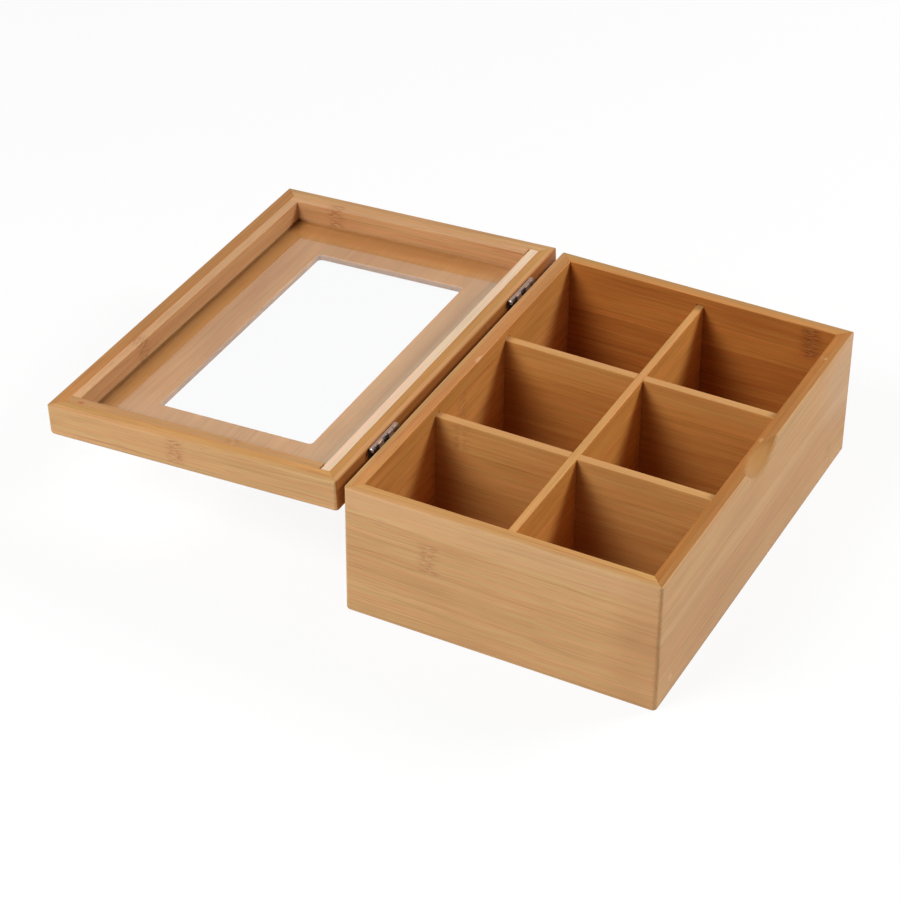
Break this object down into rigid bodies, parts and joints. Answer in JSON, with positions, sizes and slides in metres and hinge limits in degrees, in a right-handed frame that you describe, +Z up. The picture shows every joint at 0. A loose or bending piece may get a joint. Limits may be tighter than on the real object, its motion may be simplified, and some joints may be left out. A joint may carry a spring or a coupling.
{
  "type": "tea bag box",
  "caption": "Bamboo tea bag box with crossed dividers, and a lid with a clear window that folds back on two hinges.",
  "frame": {"origin": "centre of the underside of the box, on the surface that it stands on", "axes": "+X from the hinged back wall to the front wall with the finger scoop, +Y to the right end as seen from the front, +Z up"},
  "size_m": [0.3335, 0.24, 0.0754],
  "materials": {
    "bamboo": "laminated bamboo, clear satin lacquer",
    "pale_bamboo": "pale bamboo, clear satin lacquer",
    "window_glass": "clear, polished",
    "hinge_bronze": "antique bronze plated steel",
    "pin_steel": "bright rubbed steel",
    "screw_bronze": "antique bronze plated steel"
  },
  "bodies": {
    "box": {"front_wall": "bamboo", "back_wall": "bamboo", "left_end_wall": "bamboo", "right_end_wall": "bamboo", "base_panel": "bamboo", "long_divider": "bamboo", "left_cross_divider": "bamboo", "right_cross_divider": "bamboo", "left_hinge_box_leaf": "hinge_bronze", "left_hinge_pin": "pin_steel", "left_hinge_box_screws": "screw_bronze", "right_hinge_box_leaf": "hinge_bronze", "right_hinge_pin": "pin_steel", "right_hinge_box_screws": "screw_bronze"},
    "lid": {"lid_front_rail": "bamboo", "lid_back_rail": "bamboo", "lid_left_rail": "bamboo", "lid_right_rail": "bamboo", "lid_panel": "bamboo", "window_pane": "window_glass", "front_pane_strip": "bamboo", "back_pane_strip": "pale_bamboo", "left_pane_strip": "bamboo", "right_pane_strip": "bamboo", "left_hinge_lid_leaf": "hinge_bronze", "left_hinge_lid_screws": "screw_bronze", "right_hinge_lid_leaf": "hinge_bronze", "right_hinge_lid_screws": "screw_bronze"}
  },
  "joints": [
    {"name": "lid_hinge", "type": "hinge", "parent": "box", "child": "lid", "pos_m": [-0.0844, 0, 0.0739], "axis": [0, 1, 0], "range_deg": [0, 183]}
  ]
}
